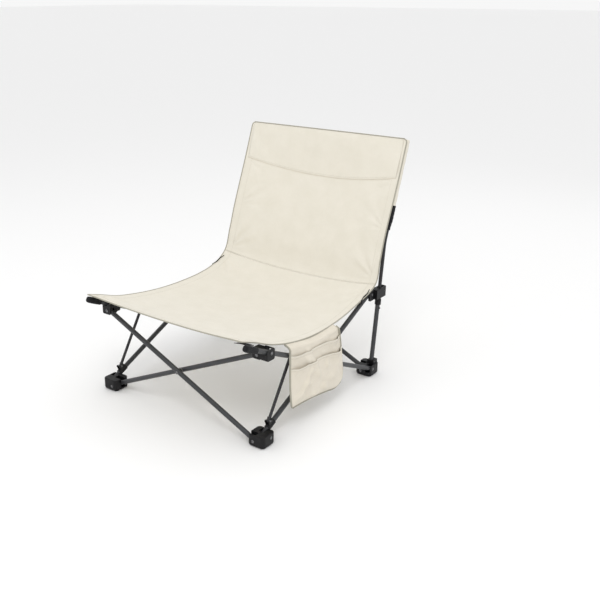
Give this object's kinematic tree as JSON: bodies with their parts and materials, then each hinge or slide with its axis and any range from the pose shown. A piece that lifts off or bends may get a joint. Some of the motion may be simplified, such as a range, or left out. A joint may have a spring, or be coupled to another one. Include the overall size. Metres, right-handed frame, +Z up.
{
  "type": "folding camp chair",
  "caption": "Low folding camp chair: a sling seat and reclined back on crossed tubes with moulded feet and hubs, folding sideways and fore-and-aft into a slim bundle.",
  "frame": {"origin": "centre of the chair's box on the floor, halfway between the feet from side to side", "axes": "+Z up, the sitter faces -Y, the sitter's left and the pocket are at +X"},
  "size_m": [0.7008, 0.9391, 0.8301],
  "materials": {
    "frame_tube": "satin dark grey powder coat",
    "strut_tube": "satin black powder coat",
    "moulding": "fine grained black plastic",
    "rivet": "blackened steel, worn heads",
    "cloth": "off-white woven polyester",
    "webbing": "black ribbed webbing"
  },
  "bodies": {
    "rear_left_foot": {"foot_rear_left": "moulding", "foot_pins_rear_left": "rivet", "pole_pin_left": "rivet"},
    "left_forward_tube": {"left_tube_rising_forward": "frame_tube", "left_crossing_rivet": "rivet", "tip_plug_left": "moulding", "corner_pocket_left": "webbing", "strut_head_pin_left": "rivet", "side_pocket": "cloth"},
    "left_back_tube": {"left_tube_rising_back": "frame_tube"},
    "right_forward_tube": {"right_tube_rising_forward": "frame_tube", "right_crossing_rivet": "rivet", "tip_plug_right": "moulding", "corner_pocket_right": "webbing", "strut_head_pin_right": "rivet"},
    "right_back_tube": {"right_tube_rising_back": "frame_tube"},
    "seat_cloth": {"seat_sling": "cloth"},
    "front_tube_to_right": {"front_tube_rising_right": "frame_tube", "front_crossing_rivet": "rivet"},
    "front_tube_to_left": {"front_tube_rising_left": "frame_tube"},
    "rear_tube_to_right": {"rear_tube_rising_right": "frame_tube", "rear_crossing_rivet": "rivet"},
    "rear_tube_to_left": {"rear_tube_rising_left": "frame_tube"},
    "front_left_foot": {"foot_front_left": "moulding", "foot_pins_front_left": "rivet"},
    "front_right_foot": {"foot_front_right": "moulding", "foot_pins_front_right": "rivet"},
    "rear_right_foot": {"foot_rear_right": "moulding", "foot_pins_rear_right": "rivet", "pole_pin_right": "rivet"},
    "front_left_hub": {"hub_front_left": "moulding", "hub_pins_front_left": "rivet"},
    "rear_left_hub": {"hub_rear_left": "moulding", "hub_pins_rear_left": "rivet", "hub_strap_left": "webbing"},
    "left_pole": {"pole_lower_left": "frame_tube", "pole_collar_left": "moulding", "pole_upper_left": "strut_tube", "pole_cap_left": "moulding", "pole_button_left": "moulding", "pole_sleeve_left": "cloth", "back_sling": "cloth"},
    "left_strut": {"strut_left": "strut_tube", "strut_foot_pin_left": "rivet"},
    "left_slider": {"slider_left": "moulding"},
    "front_right_hub": {"hub_front_right": "moulding", "hub_pins_front_right": "rivet"},
    "rear_right_hub": {"hub_rear_right": "moulding", "hub_pins_rear_right": "rivet", "hub_strap_right": "webbing"},
    "right_pole": {"pole_lower_right": "frame_tube", "pole_collar_right": "moulding", "pole_upper_right": "strut_tube", "pole_cap_right": "moulding", "pole_button_right": "moulding", "pole_sleeve_right": "cloth"},
    "right_strut": {"strut_right": "strut_tube", "strut_foot_pin_right": "rivet"},
    "right_slider": {"slider_right": "moulding"}
  },
  "joints": [
    {"name": "fold", "type": "hinge", "parent": "rear_left_foot", "child": "left_forward_tube", "pos_m": [0.338, 0.26648, 0.027], "axis": [-1, 0, 0], "range_deg": [0, 56], "deforming": ["seat_sling", "back_sling", "side_pocket", "pole_sleeve_left", "pole_sleeve_right", "hub_strap_left", "hub_strap_right", "corner_pocket_left", "corner_pocket_right"]},
    {"name": "left_crossing", "type": "hinge", "parent": "left_forward_tube", "child": "left_back_tube", "pos_m": [0.338, -0.04252, 0.168], "axis": [1, 0, 0], "range_deg": [0, 112.01]},
    {"name": "front_left_hub_pivot", "type": "hinge", "parent": "left_forward_tube", "child": "front_left_hub", "pos_m": [0.338, -0.35152, 0.309], "axis": [1, 0, 0], "range_deg": [0, 56.01]},
    {"name": "front_left_foot_pivot", "type": "hinge", "parent": "left_back_tube", "child": "front_left_foot", "pos_m": [0.316, -0.35152, 0.027], "axis": [-1, 0, 0], "range_deg": [0, 56.01]},
    {"name": "rear_left_hub_pivot", "type": "hinge", "parent": "left_back_tube", "child": "rear_left_hub", "pos_m": [0.316, 0.26648, 0.309], "axis": [-1, 0, 0], "range_deg": [0, 56.01]},
    {"name": "front_left_foot_tube_pivot", "type": "hinge", "parent": "front_left_foot", "child": "front_tube_to_right", "pos_m": [0.309, -0.38052, 0.018], "axis": [0, 1, 0], "range_deg": [0, 56.01]},
    {"name": "front_crossing", "type": "hinge", "parent": "front_tube_to_right", "child": "front_tube_to_left", "pos_m": [0, -0.38052, 0.159], "axis": [0, -1, 0], "range_deg": [0, 112.01]},
    {"name": "front_right_foot_tube_pivot", "type": "hinge", "parent": "front_tube_to_left", "child": "front_right_foot", "pos_m": [-0.309, -0.35852, 0.018], "axis": [0, 1, 0], "range_deg": [0, 56.01]},
    {"name": "rear_left_foot_tube_pivot", "type": "hinge", "parent": "rear_left_foot", "child": "rear_tube_to_right", "pos_m": [0.309, 0.27348, 0.018], "axis": [0, 1, 0], "range_deg": [0, 56.01]},
    {"name": "rear_crossing", "type": "hinge", "parent": "rear_tube_to_right", "child": "rear_tube_to_left", "pos_m": [0, 0.27348, 0.159], "axis": [0, -1, 0], "range_deg": [0, 112.01]},
    {"name": "rear_right_foot_tube_pivot", "type": "hinge", "parent": "rear_tube_to_left", "child": "rear_right_foot", "pos_m": [-0.309, 0.29548, 0.018], "axis": [0, 1, 0], "range_deg": [0, 56.01]},
    {"name": "rear_right_foot_side_pivot", "type": "hinge", "parent": "rear_right_foot", "child": "right_forward_tube", "pos_m": [-0.316, 0.26648, 0.027], "axis": [-1, 0, 0], "range_deg": [0, 56.01]},
    {"name": "right_crossing", "type": "hinge", "parent": "right_forward_tube", "child": "right_back_tube", "pos_m": [-0.316, -0.04252, 0.168], "axis": [1, 0, 0], "range_deg": [0, 112.01]},
    {"name": "front_right_hub_pivot", "type": "hinge", "parent": "right_forward_tube", "child": "front_right_hub", "pos_m": [-0.316, -0.35152, 0.309], "axis": [1, 0, 0], "range_deg": [0, 56.01]},
    {"name": "rear_right_hub_pivot", "type": "hinge", "parent": "right_back_tube", "child": "rear_right_hub", "pos_m": [-0.338, 0.26648, 0.309], "axis": [-1, 0, 0], "range_deg": [0, 56.01]},
    {"name": "seat_cloth_hang", "type": "hinge", "parent": "left_forward_tube", "child": "seat_cloth", "pos_m": [0.338, -0.45887, 0.35799], "axis": [-1, 0, 0], "range_deg": [0, 32.49]},
    {"name": "left_pole_pivot", "type": "hinge", "parent": "rear_left_foot", "child": "left_pole", "pos_m": [0.3295, 0.28698, 0.046], "axis": [1, 0, 0], "range_deg": [0, 7.85]},
    {"name": "right_pole_pivot", "type": "hinge", "parent": "rear_right_foot", "child": "right_pole", "pos_m": [-0.3295, 0.28698, 0.046], "axis": [1, 0, 0], "range_deg": [0, 7.85]},
    {"name": "left_strut_pivot", "type": "hinge", "parent": "left_forward_tube", "child": "left_strut", "pos_m": [0.316, -0.20582, 0.24252], "axis": [1, 0, 0], "range_deg": [0, 89.48]},
    {"name": "left_slider_slide", "type": "slide", "parent": "left_back_tube", "child": "left_slider", "axis": [0, 0.9098, 0.4151], "range_m": [0, 0.25598]},
    {"name": "right_strut_pivot", "type": "hinge", "parent": "right_forward_tube", "child": "right_strut", "pos_m": [-0.338, -0.20582, 0.24252], "axis": [1, 0, 0], "range_deg": [0, 89.48]},
    {"name": "right_slider_slide", "type": "slide", "parent": "right_back_tube", "child": "right_slider", "axis": [0, 0.9098, 0.4151], "range_m": [0, 0.25598]}
  ],
  "couplings": [
    {"joint": "left_crossing", "follows": "fold", "ratio": 2},
    {"joint": "front_left_hub_pivot", "follows": "fold", "ratio": 1},
    {"joint": "front_left_foot_pivot", "follows": "fold", "ratio": 1},
    {"joint": "rear_left_hub_pivot", "follows": "fold", "ratio": 1},
    {"joint": "front_left_foot_tube_pivot", "follows": "fold", "ratio": 1},
    {"joint": "front_crossing", "follows": "fold", "ratio": 2},
    {"joint": "front_right_foot_tube_pivot", "follows": "fold", "ratio": 1},
    {"joint": "rear_left_foot_tube_pivot", "follows": "fold", "ratio": 1},
    {"joint": "rear_crossing", "follows": "fold", "ratio": 2},
    {"joint": "rear_right_foot_tube_pivot", "follows": "fold", "ratio": 1},
    {"joint": "rear_right_foot_side_pivot", "follows": "fold", "ratio": 1},
    {"joint": "right_crossing", "follows": "fold", "ratio": 2},
    {"joint": "front_right_hub_pivot", "follows": "fold", "ratio": 1},
    {"joint": "rear_right_hub_pivot", "follows": "fold", "ratio": 1},
    {"joint": "seat_cloth_hang", "follows": "fold", "ratio": 0.58},
    {"joint": "left_pole_pivot", "follows": "fold", "ratio": 0.14},
    {"joint": "right_pole_pivot", "follows": "fold", "ratio": 0.14},
    {"joint": "left_strut_pivot", "follows": "fold", "ratio": 1.5977},
    {"joint": "left_slider_slide", "follows": "fold", "m_per_rad": 0.26189},
    {"joint": "right_strut_pivot", "follows": "fold", "ratio": 1.5977},
    {"joint": "right_slider_slide", "follows": "fold", "m_per_rad": 0.26189}
  ]
}
